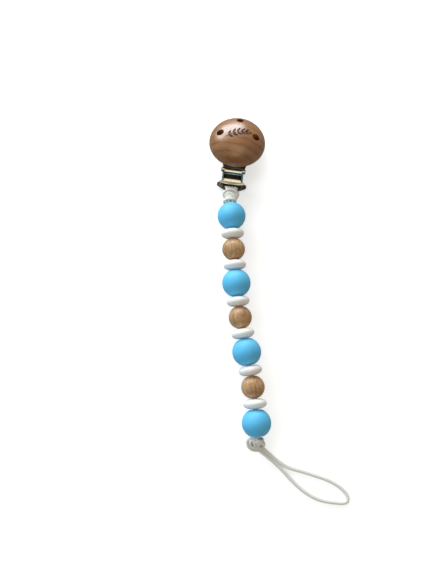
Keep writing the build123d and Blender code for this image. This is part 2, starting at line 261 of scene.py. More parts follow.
def lathe(name, profile, m, segs=128, closed=True):
    """Turns (z, r) profile points round the matrix's Z axis."""
    n = len(profile)
    verts, faces = [], []
    for k in range(segs):
        a = 2 * math.pi * k / segs
        for z, r in profile:
            verts.append(m @ Vector((r * math.cos(a), r * math.sin(a), z)))
    for k in range(segs):
        k2 = (k + 1) % segs
        for i in range(n if closed else n - 1):
            j = (i + 1) % n
            faces.append([k * n + i, k2 * n + i, k2 * n + j, k * n + j])
    me = from_arrays(name, verts, faces)
    bm = bmesh.new()
    bm.from_mesh(me)
    bmesh.ops.remove_doubles(bm, verts=bm.verts, dist=1e-7)
    bmesh.ops.recalc_face_normals(bm, faces=bm.faces)
    bm.to_mesh(me)
    bm.free()
    smooth(me)
    return me


# ---------------------------------------------------------------------------
# materials
# ---------------------------------------------------------------------------
def srgb(r, g, b):
    f = lambda c: (c / 255 / 12.92) if c / 255 <= 0.04045 else ((c / 255 + 0.055) / 1.055) ** 2.4
    return (f(r), f(g), f(b), 1)


class Mat:
    def __init__(self, name):
        self.m = bpy.data.materials.new(name)
        self.m.use_nodes = True
        self.t = self.m.node_tree
        self.b = self.t.nodes["Principled BSDF"]
        self.out = self.t.nodes["Material Output"]
        self.tc = self.t.nodes.new("ShaderNodeTexCoord")

    def n(self, kind, **kw):
        node = self.t.nodes.new(kind)
        for k, v in kw.items():
            if k.startswith("in_"):
                node.inputs[k[3:].replace("_", " ")].default_value = v
            else:
                setattr(node, k, v)
        return node

    def link(self, a, b):
        self.t.links.new(a, b)

    def mapping(self, matrix=None, scale=(1, 1, 1), loc=(0, 0, 0), rot=(0, 0, 0)):
        mp = self.n("ShaderNodeMapping")
        if matrix is not None:
            inv = matrix.inverted()
            lo, ro, _ = inv.decompose()
            first = self.n("ShaderNodeMapping")
            first.inputs["Location"].default_value = lo
            first.inputs["Rotation"].default_value = ro.to_euler("XYZ")
            self.link(self.tc.outputs["Object"], first.inputs["Vector"])
            self.link(first.outputs["Vector"], mp.inputs["Vector"])
        else:
            self.link(self.tc.outputs["Object"], mp.inputs["Vector"])
        mp.inputs["Scale"].default_value = scale
        mp.inputs["Location"].default_value = loc
        mp.inputs["Rotation"].default_value = rot
        return mp.outputs["Vector"]

    def noise(self, vec, scale, detail=4, rough=0.55, distortion=0.0):
        nz = self.n("ShaderNodeTexNoise")
        nz.inputs["Scale"].default_value = scale
        nz.inputs["Detail"].default_value = detail
        nz.inputs["Roughness"].default_value = rough
        nz.inputs["Distortion"].default_value = distortion
        self.link(vec, nz.inputs["Vector"])
        return nz.outputs["Fac"]

    def ramp(self, fac, stops, interp="LINEAR"):
        r = self.n("ShaderNodeValToRGB")
        r.color_ramp.interpolation = interp
        e = r.color_ramp.elements
        while len(e) < len(stops):
            e.new(0.5)
        for el, (p, c) in zip(e, stops):
            el.position = p
            el.color = c if isinstance(c, tuple) else (c, c, c, 1)
        self.link(fac, r.inputs["Fac"])
        return r.outputs["Color"]

    def math(self, op, a, b=None, clamp=False):
        mth = self.n("ShaderNodeMath", operation=op, use_clamp=clamp)
        for i, v in enumerate((a, b)):
            if v is None:
                continue
            if isinstance(v, (int, float)):
                mth.inputs[i].default_value = v
            else:
                self.link(v, mth.inputs[i])
        return mth.outputs[0]

    def mix(self, fac, a, b, mode="MIX"):
        mx = self.n("ShaderNodeMix", data_type="RGBA", blend_type=mode)
        for key, v in ((0, fac), (6, a), (7, b)):
            if isinstance(v, (int, float)):
                mx.inputs[key].default_value = v
            elif isinstance(v, tuple):
                mx.inputs[key].default_value = v
            else:
                self.link(v, mx.inputs[key])
        return mx.outputs[2]

    def bump(self, height, strength=0.3, distance=0.0002, normal=None):
        bp = self.n("ShaderNodeBump")
        bp.inputs["Strength"].default_value = strength
        bp.inputs["Distance"].default_value = distance
        self.link(height, bp.inputs["Height"])
        if normal is not None:
            self.link(normal, bp.inputs["Normal"])
        return bp.outputs["Normal"]

    def set(self, **kw):
        for k, v in kw.items():
            s = self.b.inputs[k.replace("_", " ")]
            if hasattr(v, "is_output"):
                self.link(v, s)
            else:
                s.default_value = v
        return self


def silicone(name, lit, shade, seed, sss=0.06):
    m = Mat(name)
    v = m.mapping(loc=(seed, seed * 0.7, 0))
    soft = m.noise(v, 160, 3, 0.5)
    fine = m.noise(v, 5200, 2, 0.5)
    pits = m.noise(v, 1500, 3, 0.6)
    col = m.mix(m.ramp(soft, [(0.3, 0.0), (0.7, 1.0)]), shade, lit)
    dust = m.ramp(pits, [(0.70, 0.0), (0.82, 0.35)])
    col = m.mix(dust, col, tuple(min(1, c * 1.25 + 0.04) for c in lit[:3]) + (1,))
    rough = m.math("ADD", m.math("MULTIPLY", fine, 0.14), 0.46)
    nrm = m.bump(fine, 0.16, 0.00004)
    nrm = m.bump(pits, 0.10, 0.00006, nrm)
    m.set(Base_Color=col, Roughness=rough, Normal=nrm)
    m.b.inputs["Subsurface Weight"].default_value = sss
    m.b.inputs["Subsurface Radius"].default_value = (0.6, 0.8, 1.0)
    m.b.inputs["Subsurface Scale"].default_value = 0.0012
    m.b.inputs["Specular IOR Level"].default_value = 0.38
    m.b.inputs["Sheen Weight"].default_value = 0.12
    m.b.inputs["Sheen Roughness"].default_value = 0.5
    return m.m


def wood(name, matrix, dark, mid, light, seed, ring=0.0026, tilt=(0, 0, 0), wander=0.7, arch=14.0, grain=0.75, gloss=0.42, fine_scale=1.0, line=0.50, lean=0.0):
    """Beech: growth bands across the local Y, fibre and ray flecks along the local X."""
    m = Mat(name)
    # gently wandering growth bands
    v = m.mapping(matrix, loc=(0, seed * 0.009, 0), rot=tilt)
    warp = m.noise(v, 38, 2, 0.5)
    sep = m.n("ShaderNodeSeparateXYZ")
    m.link(v, sep.inputs[0])
    y = m.math("ADD", sep.outputs["Y"], m.math("MULTIPLY", m.math("SUBTRACT", warp, 0.5), ring * wander))
    y = m.math("ADD", y, m.math("MULTIPLY", m.math("MULTIPLY", sep.outputs["X"], sep.outputs["X"]), arch))
    y = m.math("ADD", y, m.math("MULTIPLY", sep.outputs["X"], lean))
    y = m.math("SUBTRACT", y, m.math("MULTIPLY", sep.outputs["Z"], 0.06))
    ph = m.math("FRACT", m.math("DIVIDE", y, ring))
    band = m.ramp(ph, [(0.0, 0.16), (0.10, 0.50), (0.55, 0.78), (0.86, 0.60), (0.955, 0.10), (1.0, 0.16)], "EASE")
    vary = m.noise(m.mapping(matrix, scale=(0.25, 1, 1), loc=(0, seed, 0)), 210, 2, 0.5)
    # fibres: long thin streaks
    vf = m.mapping(matrix, scale=(0.055 * fine_scale, 1, 1), loc=(seed, 0, seed))
    fib = m.noise(vf, 3600, 4, 0.62)
    vp = m.mapping(matrix, scale=(0.16, 1, 1), loc=(0, seed * 2, 0))
    pores = m.ramp(m.noise(vp, 5200, 2, 0.4), [(0.60, 0.0), (0.72, 1.0)])
    flecks = m.ramp(m.noise(m.mapping(matrix, scale=(0.30, 1, 1), loc=(seed, seed, 0)), 2100, 1, 0.3), [(0.66, 0.0), (0.76, 1.0)])
    k = m.math("ADD", m.math("MULTIPLY", band, line), m.math("MULTIPLY", vary, 0.84 - line))
    k = m.math("ADD", k, m.math("MULTIPLY", m.math("SUBTRACT", fib, 0.5), grain))
    k = m.math("ADD", k, 0.05)
    col = m.ramp(k, [(0.12, dark), (0.48, mid), (0.86, light)])
    col = m.mix(m.math("MULTIPLY", flecks, 0.30), col, tuple(c * 0.55 for c in mid[:3]) + (1,))
    col = m.mix(m.math("MULTIPLY", pores, 0.38), col, tuple(c * 0.42 for c in dark[:3]) + (1,))
    h = m.math("SUBTRACT", m.math("MULTIPLY", fib, 0.6), m.math("MULTIPLY", pores, 0.8))
    nrm = m.bump(h, 0.22, 0.00006)
    rough = m.math("ADD", m.math("MULTIPLY", fib, 0.22), gloss - 0.11)
    m.set(Base_Color=col, Roughness=rough, Normal=nrm)
    m.b.inputs["Specular IOR Level"].default_value = 0.42
    m.b.inputs["Coat Weight"].default_value = 0.12
    m.b.inputs["Coat Roughness"].default_value = 0.38
    return m.m


def burnt(name):
    m = Mat(name)
    v = m.mapping()
    a = m.noise(v, 2600, 4, 0.6)
    col = m.ramp(a, [(0.3, srgb(38, 19, 20)), (0.7, srgb(78, 44, 36))])
    m.set(Base_Color=col, Roughness=0.85, Normal=m.bump(a, 0.5, 0.00008))
    return m.m


def metal(name, colour, rough=0.16, scratch=0.5, dark=0.75, painted_shade_band=None):
    m = Mat(name)
    v = m.mapping()
    cloud = m.noise(v, 260, 4, 0.6)
    vs = m.mapping(matrix=CLIP_M, scale=(1, 0.04, 1))
    line = m.noise(vs, 4200, 3, 0.7)
    vs2 = m.mapping(matrix=CLIP_M, scale=(0.05, 1, 1), rot=(0, 0, 0.4))
    line2 = m.noise(vs2, 2600, 2, 0.6)
    smudge = m.ramp(cloud, [(0.35, 0.0), (0.75, 1.0)])
    lo = tuple(c * dark for c in colour[:3]) + (1,)
    col = m.mix(smudge, colour, lo)
    if painted_shade_band:
        # painted shade: near black across a band of the clip's own Y, standing in for the shade in the neck's hollow
        sep = m.n("ShaderNodeSeparateXYZ")
        m.link(m.mapping(matrix=CLIP_M), sep.inputs[0])
        at = m.math("DIVIDE", m.math("SUBTRACT", sep.outputs["Y"], painted_shade_band[0] * MM), (painted_shade_band[1] - painted_shade_band[0]) * MM)
        col = m.mix(m.ramp(at, [(0.0, 0.0), (0.22, 1.0), (0.86, 1.0), (1.0, 0.0)]), col, (0.045, 0.038, 0.03, 1))
    r = m.math("ADD", m.math("MULTIPLY", smudge, 0.10), rough)
    r = m.math("ADD", r, m.math("MULTIPLY", m.ramp(line, [(0.55, 0.0), (0.75, 1.0)]), 0.10 * scratch))
    nrm = m.bump(line, 0.10 * scratch, 0.00002)
    nrm = m.bump(line2, 0.06 * scratch, 0.00002, nrm)
    wave = m.noise(v, 420, 2, 0.5)
    nrm = m.bump(wave, 0.12, 0.00012, nrm)
    m.set(Base_Color=col, Roughness=r, Normal=nrm)
    m.b.inputs["Metallic"].default_value = 1.0
    return m.m


def nylon(name):
    m = Mat(name)
    at = m.n("ShaderNodeAttribute", attribute_name="weave")
    v = m.mapping()
    soft = m.noise(v, 420, 3, 0.5)
    thread = m.noise(v, 9000, 2, 0.6)
    base = m.mix(m.ramp(soft, [(0.3, 0.0), (0.7, 1.0)]), srgb(246, 243, 232), srgb(252, 251, 246))
    # painted shade: the low places between the yarns darkened, as if in the braid's creases
    deep = m.ramp(at.outputs["Fac"], [(0.08, srgb(138, 130, 112)), (0.55, srgb(255, 255, 255))])
    col = m.mix(1.0, base, deep, "MULTIPLY")
    nrm = m.bump(thread, 0.35, 0.00005)
    m.set(Base_Color=col, Roughness=m.math("ADD", m.math("MULTIPLY", thread, 0.2), 0.5), Normal=nrm)
    m.b.inputs["Sheen Weight"].default_value = 0.35
    m.b.inputs["Sheen Roughness"].default_value = 0.4
    m.b.inputs["Subsurface Weight"].default_value = 0.08
    m.b.inputs["Subsurface Radius"].default_value = (1.0, 0.95, 0.85)
    m.b.inputs["Subsurface Scale"].default_value = 0.0005
    return m.m


def plastic(name, colour):
    m = Mat(name)
    v = m.mapping()
    a = m.noise(v, 900, 3, 0.5)
    col = m.mix(m.ramp(a, [(0.3, 0.0), (0.7, 1.0)]), colour, tuple(c * 0.9 for c in colour[:3]) + (1,))
    m.set(Base_Color=col, Roughness=m.math("ADD", m.math("MULTIPLY", a, 0.2), 0.35), Normal=m.bump(a, 0.1, 0.00005))
    m.b.inputs["Subsurface Weight"].default_value = 0.2
    m.b.inputs["Subsurface Scale"].default_value = 0.001
    return m.m


NICKEL = metal("nickel_plate", (0.80, 0.77, 0.68, 1), 0.15, 0.6, 0.85)
# the lever's nickel, with painted shade in the neck between its barrel and thumb plate
LEVER_NICKEL = metal("lever_nickel", (0.78, 0.75, 0.65, 1), 0.17, 0.6, 0.85, painted_shade_band=(-4.5, -2.1))
# the base plate's nickel: rougher, and darker in colour as painted shade standing in for the dark reflections on its
# sloped frame
DULL_SHADED_NICKEL = metal("base_nickel", (0.60, 0.57, 0.51, 1), 0.20, 0.8, 0.82)
PIN_STEEL = metal("pin_steel", (0.72, 0.70, 0.64, 1), 0.22, 0.4, 0.8)
SPRING = metal("spring_steel", (0.45, 0.46, 0.48, 1), 0.30, 0.5, 0.8)
SCREW = metal("screw_steel", (0.62, 0.60, 0.55, 1), 0.32, 0.3, 0.8)
CORD = nylon("braided_nylon")
MILKY = plastic("milky_nylon", srgb(226, 226, 218))
BLUE = silicone("blue_silicone", srgb(98, 196, 240), srgb(88, 188, 236), 0.0, 0.05)
WHITE = silicone("white_silicone", srgb(248, 247, 242), srgb(243, 241, 235), 0.35, 0.25)
BURNT = burnt("burnt_engraving")
COVER = wood("cover_beech", SEAT_M, srgb(92, 56, 27), srgb(142, 94, 52), srgb(172, 123, 74), 3.0, ring=0.0040, wander=0.40, arch=1.6, grain=0.66, gloss=0.36, line=0.34, lean=0.10)
COVER.node_tree.nodes["Principled BSDF"].inputs["Coat Weight"].default_value = 1.0
COVER.node_tree.nodes["Principled BSDF"].inputs["Coat IOR"].default_value = 1.6
COVER.node_tree.nodes["Principled BSDF"].inputs["Coat Roughness"].default_value = 0.27
VENT = wood("vent_wall", SEAT_M, srgb(112, 70, 40), srgb(150, 98, 58), srgb(176, 122, 78), 7.0, ring=0.004)

# ---------------------------------------------------------------------------
# free loop first: the route is part.py's, in metres
# ---------------------------------------------------------------------------
ZF = 0.90
ROUTE = [
    (11.52, -87.87, 2.6), (13.82, -89.97, 1.25), (17.32, -92.97, ZF), (20.82, -95.87, ZF),
    (25.42, -98.27, ZF), (31.42, -99.77, ZF), (38.12, -101.77, ZF), (45.12, -104.07, ZF),
    (50.52, -107.07, ZF), (53.42, -109.57, ZF), (55.12, -112.17, ZF), (54.96, -114.52, ZF),
    (52.92, -115.67, ZF), (49.32, -115.42, ZF), (44.92, -114.97, ZF), (40.42, -113.97, ZF),
    (35.92, -111.97, ZF), (30.52, -108.17, ZF), (25.82, -103.57, ZF), (22.02, -99.27, ZF),
    (18.52, -95.97, ZF), (15.02, -93.07, ZF), (12.02, -90.67, 1.25), (9.82, -89.07, 2.6),
]


def nurbs_line(points, name):
    cu = bpy.data.curves.new(name, "CURVE")
    cu.dimensions = "3D"
    cu.resolution_u = 16
    sp = cu.splines.new("NURBS")
    sp.points.add(len(points) - 1)
    for p, q in zip(sp.points, points):
        p.co = (q[0] * MM, q[1] * MM, q[2] * MM, 1)
    sp.order_u = 3
    sp.use_endpoint_u = True
    ob = bpy.data.objects.new(name, cu)
    scene.collection.objects.link(ob)
    me = bpy.data.meshes.new_from_object(ob)
    line = [tuple(v.co) for v in me.vertices]
    bpy.data.objects.remove(ob)
    bpy.data.meshes.remove(me)
    return line


loop_line = nurbs_line(ROUTE, "loop_route")
loop_length = sum((Vector(b) - Vector(a)).length for a, b in zip(loop_line, loop_line[1:]))
loop = braid_object("cord_loop", [(loop_line, 1.8 * MM)], CORD, carriers=4, pitch=1.7, step=0.10, sides=32, amp=0.14)
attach(loop, "loop")
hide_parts("loop_cord")

# ---------------------------------------------------------------------------
# beads
# ---------------------------------------------------------------------------
def arc_pts(cx, cy, r, a0, a1, n):
    return [(cx + r * math.cos(math.radians(a0 + (a1 - a0) * k / n)), cy + r * math.sin(math.radians(a0 + (a1 - a0) * k / n))) for k in range(n + 1)]


def rounded(profile, radii, n=8):
    """Rounds chosen corners of a closed (z, r) profile."""
    out = []
    m = len(profile)
    for i, p in enumerate(profile):
        r = radii.get(i)
        if not r:
            out.append(p)
            continue
        a, b, c = Vector(profile[i - 1]), Vector(p), Vector(profile[(i + 1) % m])
        u, v = (a - b).normalized(), (c - b).normalized()
        ang = u.angle(v)
        t = min(r / math.tan(ang / 2), (a - b).length * 0.98, (c - b).length * 0.98)
        rr = t * math.tan(ang / 2)
        o = b + (u + v).normalized() * (rr / math.sin(ang / 2))
        s, e = b + u * t - o, b + v * t - o
        a0, a1 = math.atan2(s.y, s.x), math.atan2(e.y, e.x)
        d = (a1 - a0 + math.pi) % (2 * math.pi) - math.pi
        for k in range(n + 1):
            out.append((o.x + rr * math.cos(a0 + d * k / n), o.y + rr * math.sin(a0 + d * k / n)))
    return out


def bead_profile(kind):
    bore = 1.6
    if kind == "disc":
        # fuller than an ellipse at its rim, as a moulded lentil is
        e = 2 / 2.3
        prof = []
        for t in np.linspace(0, 180, 180):
            c, q = math.cos(math.radians(t)), math.sin(math.radians(t))
            z, r = 2.72 * math.copysign(abs(c) ** e, c), 6.0 * q ** e
            if r > bore + 0.25:
                prof.append((z, r))
        z = prof[0][0]
        lip = [(z - 0.02, bore + 0.12), (z - 0.12, bore + 0.03), (z - 0.35, bore)]
        return lip[::-1] + prof + [(-a, b) for a, b in lip]
    r, h, mouth, rim = (7.5, 6.8, 0.5, 0.9) if kind == "blue" else (6.05, 5.65, 0.35, 0.30)
    f = math.sqrt(r * r - h * h)
    a = math.degrees(math.atan2(f, h))
    sphere = [(r * math.cos(math.radians(t)), r * math.sin(math.radians(t))) for t in np.linspace(a, 180 - a, 96)]
    # round the rim where the flat meets the sphere, then the bore's mouths
    prof = [(h, bore)] + sphere + [(-h, bore)]
    n = len(prof)
    # pull the sphere points near the flat inwards so that the rim is soft
    out = []
    for z, q in prof:
        out.append((z, q))
    keep = [out[0]] + [(z, q) for z, q in sphere if abs(z) < h - rim * 0.62] + [out[-1]]
    first, last = keep[1], keep[-2]
    capr = [(h, bore)] + [(h, f - rim * 0.75)]
    bez = lambda p0, p1, p2: [((1 - t) ** 2 * p0[0] + 2 * t * (1 - t) * p1[0] + t * t * p2[0], (1 - t) ** 2 * p0[1] + 2 * t * (1 - t) * p1[1] + t * t * p2[1]) for t in np.linspace(0, 1, 10)]
    right = bez((h, f - rim * 0.75), (h, f + 0.05), first)
    left = [(-z, q) for z, q in reversed(right)]
    full = [(h, bore)] + right + keep[2:-2] + left + [(-h, bore)]
    return rounded(full, {0: mouth, len(full) - 1: mouth}, 7)


count = {"blue": 0, "disc": 0, "wood": 0}
label = {"blue": "blue_bead", "disc": "white_disc", "wood": "wood_bead"}
for i, kind in enumerate(ORDER):
    count[kind] += 1
    node = f"{label[kind]}_{count[kind]}"
    z = HEAD[i]
    y = Vector((0, 0, 1))
    x = y.cross(z).normalized()
    m = basis(MID[i], x, y, z)
    prof = [(p * MM, q * MM) for p, q in bead_profile(kind)]
    me = lathe(f"{node}_turned" if kind == "wood" else f"{node}_moulded", prof, m, segs=144)
    ob = add(me.name, me)
    if kind == "blue":
        me.materials.append(BLUE)
    elif kind == "disc":
        me.materials.append(WHITE)
    else:
        # fibre along the strand: local X of the wood is the bead's own axis
        g = basis(MID[i], z, x, y)
        spin = Matrix.Rotation(0.45 * math.sin(2.1 * i), 4, "X")
        me.materials.append(wood(f"bead_wood_{count[kind]}", g @ spin, srgb(118, 82, 52), srgb(186, 146, 104), srgb(228, 192, 150), 11.0 + i, ring=0.0021, wander=0.5, arch=0.0, grain=1.35, gloss=0.40, line=0.16))
    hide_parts(node)
    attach(ob, f"bead_{i + 1:02d}")

# ---------------------------------------------------------------------------
# doubled cord inside the beads: one piece from bead middle to bead middle
# ---------------------------------------------------------------------------
def strand_pair(a, b, c, gap=0.73):
    """Two strands side by side from a over b to c, kept flat."""
    out = []
    for s in (-1, 1):
        pts = []
        h1, h2 = (b - a).normalized(), (c - b).normalized()
        for k in range(25):
            t = k / 24
            p = a.lerp(b, min(1, t * 2)) if t < 0.5 else b.lerp(c, t * 2 - 1)
            h = h1.lerp(h2, min(1, max(0, (t - 0.4) / 0.2)))
            side = h.cross(Vector((0, 0, 1))).normalized()
            pts.append(p + side * (gap * MM * s))
        out.append((pts, 1.4 * MM))
    return out


for i in range(1, 13):
    a, b, c = MID[i - 1], BEND[i], MID[i]
    ob = braid_object(f"inner_cord_{i:02d}", strand_pair(a, b, c), CORD, sides=20, step=0.16)
    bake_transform(ob)
    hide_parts(f"cord_core_{i:02d}")

# ---------------------------------------------------------------------------
# top hitch: local axes x across, r from the bar to the bead, n upwards
# ---------------------------------------------------------------------------
R = (TOP - BAR).normalized()
N = R.cross(CX).normalized()
HX = N.cross(R) * 1.0
if HX.dot(CX) < 0:
    HX = -HX
HLEN = (TOP - BAR).length / MM


def H(x, r, n):
    return BAR + HX * (x * MM) + R * (r * MM) + N * (n * MM)


D1 = 1.45 * MM
hitch = []
# wraps round the bar: up the back, over, down the front
for x in (-2.2, -0.75, 0.75, 2.2):
    pts = [H(x * 0.8, 5.2, 0.7), H(x * 0.95, 3.2, 1.1), H(x, 1.3, 1.35), H(x, -0.35, 1.2), H(x, -1.2, 0.1),
           H(x, -0.75, -1.1), H(x, 0.7, -1.4), H(x, 2.6, -1.25), H(x * 0.9, 5.0, -0.9)]
    hitch.append((spline(pts), D1))
# bight lying across the front, its ends tucked round the sides
for k, lift in enumerate((0.0, 1.15)):
    pts = [H(-3.0, 5.9 + lift * 0.5, -0.9), H(-3.85, 4.9 + lift * 0.5, -0.1), H(-3.95 + lift * 0.2, 3.9 + lift * 0.6, 0.9), H(-2.7, 3.0 + lift * 0.8, 1.9 - lift * 0.1),
           H(-1.0, 2.45 + lift, 2.45 - lift * 0.2), H(1.0, 2.4 + lift, 2.45 - lift * 0.2), H(2.7, 2.85 + lift * 0.8, 1.95 - lift * 0.1), H(3.85 - lift * 0.2, 3.7 + lift * 0.6, 0.9),
           H(3.6, 4.8 + lift * 0.5, -0.2), H(2.8, 5.8 + lift * 0.5, -0.9)]
    if k == 0:
        hitch.append((spline(pts), D1))
# knot body: round turns about the standing cord
for off, half, tall, lean_r in ((5.35, 2.75, 1.75, 0.25), (6.7, 2.55, 1.8, -0.35), (8.05, 2.6, 1.6, 0.45)):
    pts = []
    for k in range(22):
        a = 2 * math.pi * k / 21 * 1.04 - 0.4
        pts.append(H(half * math.cos(a) - 0.15, off + lean_r * math.cos(a), 0.15 + tall * math.sin(a)))
    hitch.append((spline(pts), D1))
# a strand crossing the turns from upper left to lower right
pts = [H(-2.6, 4.4, -0.4), H(-2.4, 4.6, 1.1), H(-1.2, 5.0, 2.5), H(0.4, 5.9, 2.85), H(1.7, 6.9, 2.2), H(2.6, 7.6, 0.8), H(2.4, 8.2, -0.8)]
hitch.append((spline(pts), D1))
# lowest wrap, dipping to the left where it meets the bead
pts = [H(1.9, 8.4, -0.9), H(2.6, 8.5, 0.3), H(1.7, 8.75, 1.55), H(-0.2, 9.0, 1.95), H(-2.2, 9.2, 1.6), H(-3.55, 9.5, 0.5), H(-3.3, 9.75, -0.8), H(-1.4, 9.4, -1.6)]
hitch.append((spline(pts), D1))
# standing cord down to the bead's bore
deep = HEAD[0]
inside = TOP + deep * (5.5 * MM)
for s in (-1, 1):
    side = HX * (0.73 * MM * s)
    pts = [H(1.0 * s, 2.8, 0.3), H(1.0 * s, 5.0, 0.2), H(1.0 * s, 7.4, 0.1), TOP - deep * (1.1 * MM) + side * 1.1, TOP + deep * (0.6 * MM) + side, inside + side]
    hitch.append((spline(pts), D1))
top_hitch = braid_object("hitch_braid", hitch, CORD, sides=26, step=0.10)
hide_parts("top_hitch")
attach(top_hitch, "link_01")

# ---------------------------------------------------------------------------
# end knot: local axes x right, y down the strand, z up, from the last bore
# ---------------------------------------------------------------------------
EH = HEAD[12]
EX = Vector((0, 0, 1)).cross(EH) * 1.0
if EX.x < 0:
    EX = -EX


def K(x, y, z):
    return END + EX * (x * MM) + EH * ((y - 0.35) * MM) + Vector((0, 0, z * MM))


A0, B0 = Vector(loop_line[0]), Vector(loop_line[-1])
out_dir = (Vector(loop_line[3]) - A0).normalized()
knot = []
mid_exit = (A0 + B0) / 2
# outer strand of the ring: out of the bore, round the left, under, into the loop
pts = [K(-0.72, -3.0, 0), K(-0.8, -0.6, 0.0), K(-1.5, 0.75, 0.3), K(-3.3, 0.95, 0.4), K(-4.85, 1.7, -0.2), K(-5.25, 3.2, -0.9), K(-4.75, 5.0, -1.6),
       K(-3.35, 6.45, -2.2), K(-1.5, 7.1, -2.8), K(0.2, 7.0, -3.6), B0 - out_dir * 0.5 * MM, B0 + out_dir * 0.9 * MM]
knot.append((spline(pts), D1))
# inner strand of the ring, a diameter inside it
pts = [K(0.72, -3.0, 0), K(0.6, -0.5, 0.1), K(-0.2, 0.85, 0.9), K(-1.9, 1.5, 1.2), K(-3.45, 2.2, 0.7), K(-3.9, 3.5, -0.1), K(-3.4, 4.8, -0.8),
       K(-2.2, 5.65, -1.3), K(-0.6, 5.95, -1.6), K(1.0, 5.7, -2.2), mid_exit - out_dir * 0.9 * MM + Vector((0, 0, 0.9 * MM)), mid_exit + out_dir * 0.5 * MM]
knot.append((spline(pts), D1))
# core strands standing in the ring
for x0, x1, top in ((-1.75, -1.35, 1.3), (-0.35, 0.0, 1.45)):
    pts = [K(x0 * 0.4, -2.6, 0.2), K(x0 * 0.8, 0.3, 0.6), K(x0, 1.6, top), K(x0 - 0.1, 3.1, top - 0.1), K((x0 + x1) / 2, 4.5, 0.2), K(x1, 5.6, -1.9), K(x1 + 0.5, 6.0, -3.6)]
    knot.append((spline(pts), D1))
# wrap on the right: from behind, over the core, down into the loop
pts = [K(-2.6, 3.9, -2.4), K(-2.2, 3.2, -0.4), K(-0.9, 2.75, 1.9), K(0.6, 2.55, 2.35), K(2.0, 2.7, 1.5), K(2.95, 3.4, 0.1), K(3.2, 4.5, -1.9), A0 - out_dir * 0.5 * MM, A0 + out_dir * 0.9 * MM]
knot.append((spline(pts), D1))
pts = [K(-1.9, 4.9, -2.6), K(-0.9, 4.2, -0.6), K(0.7, 3.75, 0.9), K(2.0, 3.9, 0.4), K(2.8, 4.9, -1.4), mid_exit - out_dir * 0.6 * MM]
knot.append((spline(pts), D1))
# turn behind it, closing the knot's back
pts = [K(2.6, 2.2, 0.2), K(2.3, 1.4, -1.5), K(0.4, 1.3, -2.6), K(-2.0, 2.0, -3.0), K(-3.0, 3.8, -3.3), K(-1.6, 5.4, -4.0), K(0.6, 5.9, -4.4), K(2.2, 5.2, -4.6)]
knot.append((spline(pts), D1))
end_knot = braid_object("knot_braid", knot, CORD, sides=26, step=0.10)
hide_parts("end_knot", "cord_core_13")
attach(end_knot, "link_13")

# ---------------------------------------------------------------------------
# wooden cover: turned dome, vents, engraved sprig
# ---------------------------------------------------------------------------
def cover_profile(inset=0.0):
    r0, rb, rise, crown = 15.2 - inset, 12.8 - inset, 2.2, 9.6 - inset
    pts = [(0.0 if not inset else -1.0, 0.0001)]
    for r in np.linspace(0.5, rb - 0.3, 24):
        pts.append((pts[0][0], r))
    for t in np.linspace(0, 90, 22):
        a = math.radians(t)
        pts.append((rise - rise * math.cos(a) if not inset else max(-1.0, rise - (rise + 1.0) * math.cos(a)), rb + (r0 - rb) * math.sin(a)))
    for t in np.linspace(1.2, 89.4, 96):
        a = math.radians(t)
        pts.append((rise + crown * math.sin(a), r0 * math.cos(a)))
    pts.append((rise + crown, 0.0001))
    return [(z * MM, r * MM) for z, r in pts]


def prism(poly, lo, hi):
    n = len(poly)
    v = [(x, y, lo) for x, y in poly] + [(x, y, hi) for x, y in poly]
    f = [list(range(n))[::-1], list(range(n, 2 * n))] + [[i, (i + 1) % n, n + (i + 1) % n, n + i] for i in range(n)]
    return v, f


def prisms(name, polys, lo, hi, mat):
    V, F, off = [], [], 0
    for p in polys:
        v, f = prism(p, lo, hi)
        V += [SEAT_M @ Vector((x * MM, y * MM, z * MM)) for x, y, z in v]
        F += [[i + off for i in q] for q in f]
        off += len(v)
    me = from_arrays(name, V, F)
    bm = bmesh.new()
    bm.from_mesh(me)
    bmesh.ops.recalc_face_normals(bm, faces=bm.faces)
    bm.to_mesh(me)
    bm.free()
    me.materials.append(mat)
    return add(name, me)


def boolean(ob, cutter, op="DIFFERENCE", own=False):
    md = ob.modifiers.new("cut", "BOOLEAN")
    md.use_self = own
    md.operation = op
    md.solver = "EXACT"
    md.object = cutter
    md.material_mode = "TRANSFER"
    dg = bpy.context.evaluated_depsgraph_get()
    me = bpy.data.meshes.new_from_object(ob.evaluated_get(dg))
    ob.modifiers.clear()
    ob.data = me
    return ob


def circle_poly(cx, cy, r, n=72):
    return [(cx + r * math.cos(2 * math.pi * k / n), cy + r * math.sin(2 * math.pi * k / n)) for k in range(n)]


def stroke(line, w0, w1=None):
    """A thin ribbon polygon along a line, width from w0 to w1."""
    w1 = w0 if w1 is None else w1
    L, Rr = [], []
    n = len(line)
    for i, p in enumerate(line):
        a, b = Vector(line[max(0, i - 1)]), Vector(line[min(n - 1, i + 1)])
        t = (b - a).normalized()
        nn = Vector((-t.y, t.x))
        w = (w0 + (w1 - w0) * i / (n - 1)) / 2
        L.append((p[0] + nn.x * w, p[1] + nn.y * w))
        Rr.append((p[0] - nn.x * w, p[1] - nn.y * w))
    return L + Rr[::-1]


def leaf(base, ang, length, width, gap=0.14):
    """A leaf as two halves either side of an uncut midrib."""
    c, s = math.cos(ang), math.sin(ang)
    out = []
    for side in (1, -1):
        pts = []
        for k in range(15):
            t = k / 14
            x = t * length
            y = side * (gap / 2 + (width / 2 - gap / 2) * math.sin(math.pi * t ** 0.8) ** 0.9)
            pts.append((x, y))
        for k in range(14, -1, -1):
            t = k / 14
            pts.append((t * length * 0.985 + 0.01, side * gap / 2 * (1 - t * 0.5)))
        poly = [(base[0] + x * c - y * s, base[1] + x * s + y * c) for x, y in pts[:-1]]
        clean = [poly[0]]
        for q in poly[1:]:
            if math.hypot(q[0] - clean[-1][0], q[1] - clean[-1][1]) > 0.02:
                clean.append(q)
        if math.hypot(clean[0][0] - clean[-1][0], clean[0][1] - clean[-1][1]) < 0.02:
            clean.pop()
        out.append(clean)
    return out


